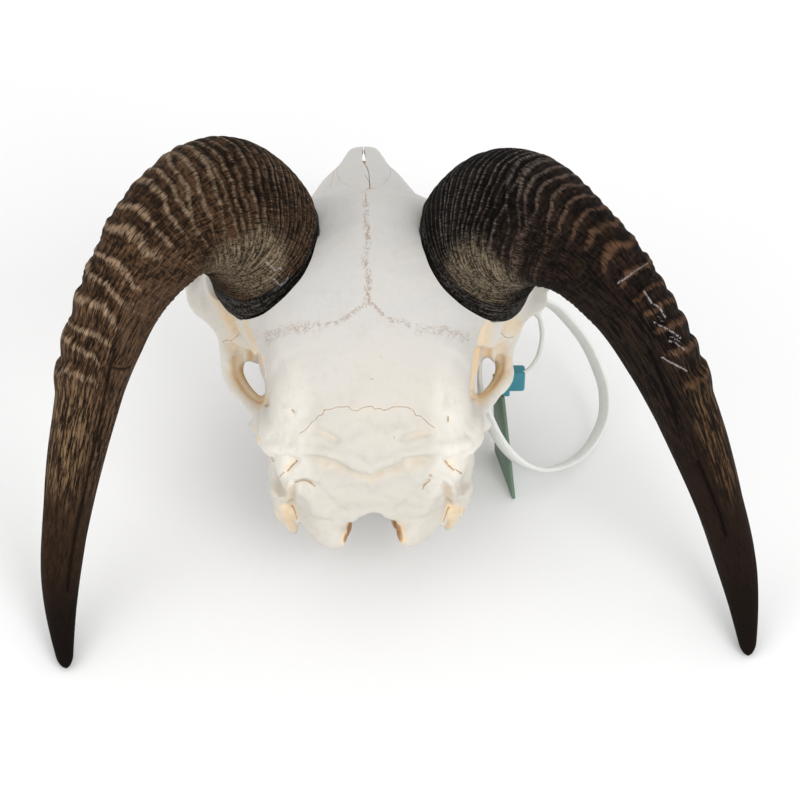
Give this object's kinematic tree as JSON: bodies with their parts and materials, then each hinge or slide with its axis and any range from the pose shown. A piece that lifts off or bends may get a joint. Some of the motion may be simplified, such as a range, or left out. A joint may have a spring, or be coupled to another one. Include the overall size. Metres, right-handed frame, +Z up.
{
  "type": "barbary sheep skull with horns",
  "caption": "Cleaned skull of a Barbary sheep without its lower jaw, with both curved horns and a plastic seal strapped through the right eye socket.",
  "frame": {"origin": "centre of the outline seen from above, at the floor that the cheek teeth and horn tips rest on", "axes": "+X to the skull's right side, +Y to the nose, +Z up from the tooth rows"},
  "size_m": [0.2842, 0.2638, 0.1781],
  "materials": {
    "bone": null,
    "horn": null,
    "strap_plastic": "plain white strap",
    "lock_plastic": "teal moulding",
    "flag_plastic": "green moulding"
  },
  "bodies": {
    "root": {"cranium": "bone", "premaxilla_left": "bone", "premaxilla_right": "bone", "zygomatic_left": "bone", "zygomatic_right": "bone", "nasal_left": "bone", "nasal_right": "bone", "horn_left": "horn", "horn_right": "horn", "tag_strap": "strap_plastic", "tag_lock": "lock_plastic", "tag_flag": "flag_plastic"}
  },
  "joints": []
}
